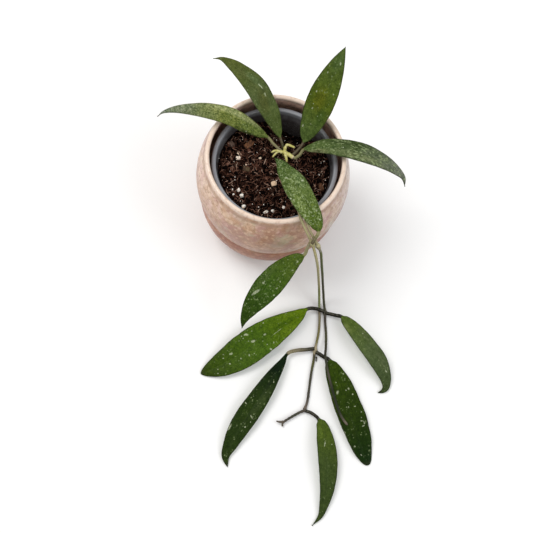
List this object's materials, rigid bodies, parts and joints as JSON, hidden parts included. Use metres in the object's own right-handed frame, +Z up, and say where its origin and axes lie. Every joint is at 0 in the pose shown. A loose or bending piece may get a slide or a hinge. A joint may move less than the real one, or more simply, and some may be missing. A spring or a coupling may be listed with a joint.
{
  "type": "potted hoya plant",
  "caption": "Potted trailing hoya: narrow speckled leaves on wiry stems that pass over the rim and lie along the surface, in a nursery pot inside a round glazed cachepot.",
  "frame": {"origin": "centre of the cachepot's flat foot, on the surface it stands on", "axes": "+Z up along the pots' common axis; the stems trail over the rim towards -Y; +X to the right seen from the trailing side"},
  "size_m": [0.1891, 0.3585, 0.1507],
  "materials": {
    "glazed_stoneware": "mottled pink-beige and mauve glaze, satin",
    "grow_pot_plastic": "thin grey moulded plastic, satin",
    "potting_soil": "dark peat and coir, rough",
    "young_shoot": "pale yellow-green, matt",
    "pale_stem": "olive-tan bark, matt",
    "dark_stem": "dark olive-brown bark, matt",
    "leaf_blade": "dark green waxy leaf with silver flecks, satin",
    "perlite_grain": "white expanded mineral, matt",
    "bark_chip": "rough brown bark, matt"
  },
  "bodies": {
    "root": {"cachepot": "glazed_stoneware", "nursery_pot": "grow_pot_plastic", "soil": "potting_soil", "crown_stem": "young_shoot", "stem_pale": "pale_stem", "stem_dark": "dark_stem", "end_shoot": "dark_stem", "side_bud": "dark_stem", "leaf_crown_left": "leaf_blade", "leaf_crown_rear": "leaf_blade", "leaf_crown_upright": "leaf_blade", "leaf_crown_right": "leaf_blade", "leaf_rim_inner": "leaf_blade", "leaf_rim_outer": "leaf_blade", "leaf_mid_left": "leaf_blade", "leaf_mid_right": "leaf_blade", "leaf_low_left": "leaf_blade", "leaf_low_right": "leaf_blade", "leaf_end": "leaf_blade", "perlite_01": "perlite_grain", "perlite_02": "perlite_grain", "perlite_03": "perlite_grain", "perlite_04": "perlite_grain", "perlite_05": "perlite_grain", "perlite_06": "perlite_grain", "perlite_07": "perlite_grain", "perlite_08": "perlite_grain", "bark_01": "bark_chip", "bark_02": "bark_chip", "bark_03": "bark_chip", "bark_04": "bark_chip"}
  },
  "joints": []
}
